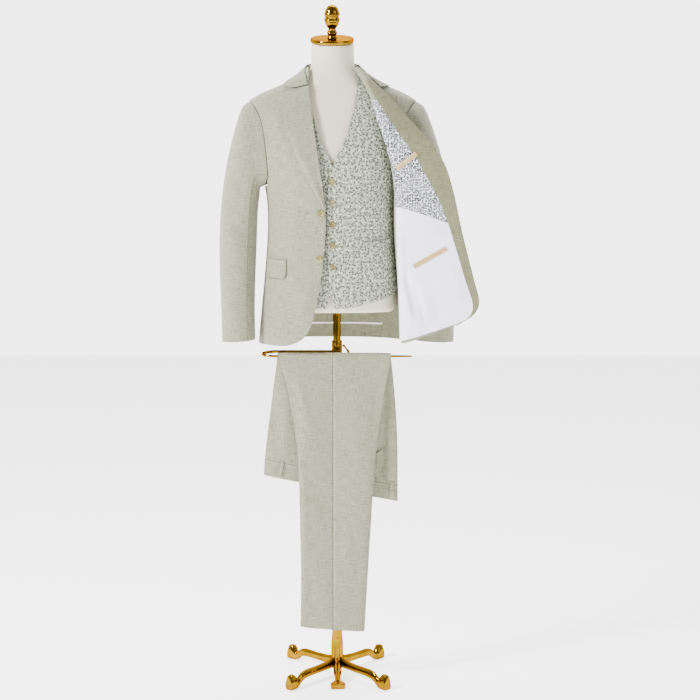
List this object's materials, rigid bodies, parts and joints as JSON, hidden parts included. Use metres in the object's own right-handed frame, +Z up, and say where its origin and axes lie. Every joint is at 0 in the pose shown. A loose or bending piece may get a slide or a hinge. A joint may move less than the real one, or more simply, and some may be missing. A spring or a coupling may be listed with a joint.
{
  "type": "three-piece suit on a limbless dress form with a trouser stand",
  "caption": "Two-button jacket with one front turned back, patterned waistcoat and trousers folded over a bar, on a dress form with a gold pole and a legged base.",
  "frame": {"origin": "middle of the whole object's box, on the floor", "axes": "+Z up, the suit's front faces -Y, the wearer's left is +X"},
  "size_m": [0.6684, 0.3074, 1.7478],
  "materials": {
    "brass": "polished gold",
    "cloth": "sage-grey wool weave",
    "form": "stretched cream linen over a hollow shell",
    "horn": "pale horn",
    "lining": "white satin",
    "printed": "white satin with grey dashes",
    "tan": "tan ribbon",
    "waistcoat": "sage jacquard"
  },
  "bodies": {
    "base": {"base_hub": "brass", "belt_loop_left_1": "cloth", "belt_loop_left_2": "cloth", "belt_loop_right_1": "cloth", "belt_loop_right_2": "cloth", "clamp": "brass", "hip_welt_left": "cloth", "hip_welt_right": "cloth", "leg_back_left": "brass", "leg_back_right": "brass", "leg_front_left": "brass", "leg_front_middle": "brass", "leg_front_right": "brass", "pole_lower": "brass", "trouser_back_left": "cloth", "trouser_back_right": "cloth", "trouser_bar": "brass", "trouser_front_left": "cloth", "trouser_front_right": "cloth", "waistband_left": "cloth", "waistband_right": "cloth"},
    "upper": {"finial": "brass", "jacket_back_binding": "lining", "jacket_back_left": "cloth", "jacket_back_right": "cloth", "jacket_button_low": "horn", "jacket_button_top": "horn", "jacket_collar": "cloth", "jacket_collar_stand": "cloth", "jacket_facing_left": "cloth", "jacket_flap_right": "cloth", "jacket_front_left": "cloth", "jacket_front_right": "cloth", "jacket_lapel_left": "cloth", "jacket_lapel_right": "cloth", "jacket_lining_plain": "lining", "jacket_lining_printed": "printed", "jacket_pocket_lower": "tan", "jacket_pocket_upper": "tan", "jacket_side_left": "cloth", "jacket_side_right": "cloth", "neck_cap": "brass", "pole_upper": "brass", "sleeve_top_left": "cloth", "sleeve_top_right": "cloth", "sleeve_under_left": "cloth", "sleeve_under_right": "cloth", "torso_form": "form", "waistcoat_back": "lining", "waistcoat_button_1": "horn", "waistcoat_button_2": "horn", "waistcoat_button_3": "horn", "waistcoat_button_4": "horn", "waistcoat_button_5": "horn", "waistcoat_front_left": "waistcoat", "waistcoat_front_right": "waistcoat", "waistcoat_pocket_left": "waistcoat", "waistcoat_pocket_right": "waistcoat"},
    "screw": {"clamp_screw": "brass"}
  },
  "joints": [
    {"name": "form_height", "type": "slide", "parent": "base", "child": "upper", "axis": [0, 0, 1], "range_m": [0, 0.15]},
    {"name": "clamp_screw_turn", "type": "hinge", "parent": "base", "child": "screw", "pos_m": [-0.01489, 0.00001, 0.877], "axis": [1, 0, 0], "continuous": true}
  ]
}
